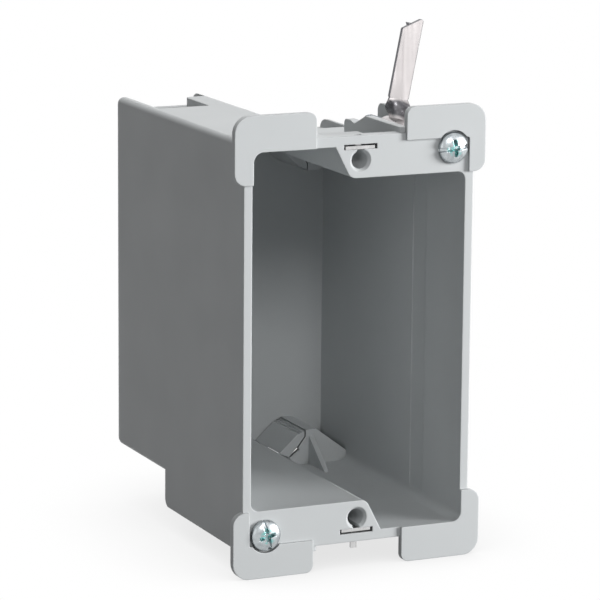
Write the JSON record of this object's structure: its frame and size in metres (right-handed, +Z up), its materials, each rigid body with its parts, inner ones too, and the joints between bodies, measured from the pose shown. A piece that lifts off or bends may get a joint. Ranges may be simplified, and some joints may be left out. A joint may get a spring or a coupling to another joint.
{
  "type": "switch box",
  "caption": "Old-work electrical box, open at the front, with L-shaped ears, swing brackets on clamp screws, device screw bosses and flexing cable clamps in its ends.",
  "frame": {"origin": "midway between the two device screw holes, in the front plane of the flange", "axes": "+X to the right as seen from the front, +Y into the box and the wall, +Z up along the line of the device screws"},
  "size_m": [0.0624, 0.0825, 0.1222],
  "materials": {
    "moulded_pvc": "satin moulded",
    "spring_steel": "bright cold rolled",
    "zinc_screw": "bright zinc plated",
    "zinc_sheet": "zinc plated sheet"
  },
  "bodies": {
    "box": {"box": "moulded_pvc", "device_clip_upper": "spring_steel", "device_clip_lower": "spring_steel"},
    "cable_flap_upper_left": {"cable_flap_upper_left": "moulded_pvc"},
    "cable_flap_upper_right": {"cable_flap_upper_right": "moulded_pvc"},
    "cable_flap_lower_left": {"cable_flap_lower_left": "moulded_pvc"},
    "cable_flap_lower_right": {"cable_flap_lower_right": "moulded_pvc"},
    "clamp_screw_upper": {"clamp_screw_upper": "zinc_screw"},
    "clamp_bracket_upper": {"clamp_bracket_upper": "zinc_sheet"},
    "clamp_screw_lower": {"clamp_screw_lower": "zinc_screw"},
    "clamp_bracket_lower": {"clamp_bracket_lower": "zinc_sheet"}
  },
  "joints": [
    {"name": "cable_flap_upper_left_bend", "type": "hinge", "parent": "box", "child": "cable_flap_upper_left", "pos_m": [-0.0153, 0.0623, 0.0363], "axis": [0, 1, 0], "range_deg": [0, 35], "stiffness_Nm_per_rad": 0.015},
    {"name": "cable_flap_upper_right_bend", "type": "hinge", "parent": "box", "child": "cable_flap_upper_right", "pos_m": [0.0153, 0.0623, 0.02895], "axis": [0, -1, 0], "range_deg": [0, 35], "stiffness_Nm_per_rad": 0.015},
    {"name": "cable_flap_lower_right_bend", "type": "hinge", "parent": "box", "child": "cable_flap_lower_right", "pos_m": [0.0153, 0.0623, -0.0363], "axis": [0, 1, 0], "range_deg": [0, 35], "stiffness_Nm_per_rad": 0.015},
    {"name": "cable_flap_lower_left_bend", "type": "hinge", "parent": "box", "child": "cable_flap_lower_left", "pos_m": [-0.0153, 0.0623, -0.02895], "axis": [0, -1, 0], "range_deg": [0, 35], "stiffness_Nm_per_rad": 0.015},
    {"name": "clamp_screw_upper_turn", "type": "hinge", "parent": "box", "child": "clamp_screw_upper", "pos_m": [0.0231, 0, 0.0433], "axis": [0, -1, 0], "range_deg": [0, 101.3]},
    {"name": "clamp_bracket_upper_travel", "type": "slide", "parent": "clamp_screw_upper", "child": "clamp_bracket_upper", "axis": [0, 1, 0], "range_m": [-0.0174, 0]},
    {"name": "clamp_screw_lower_turn", "type": "hinge", "parent": "box", "child": "clamp_screw_lower", "pos_m": [-0.0231, 0, -0.0433], "axis": [0, -1, 0], "range_deg": [-101.3, 0]},
    {"name": "clamp_bracket_lower_travel", "type": "slide", "parent": "clamp_screw_lower", "child": "clamp_bracket_lower", "axis": [0, 1, 0], "range_m": [-0.0174, 0]}
  ]
}
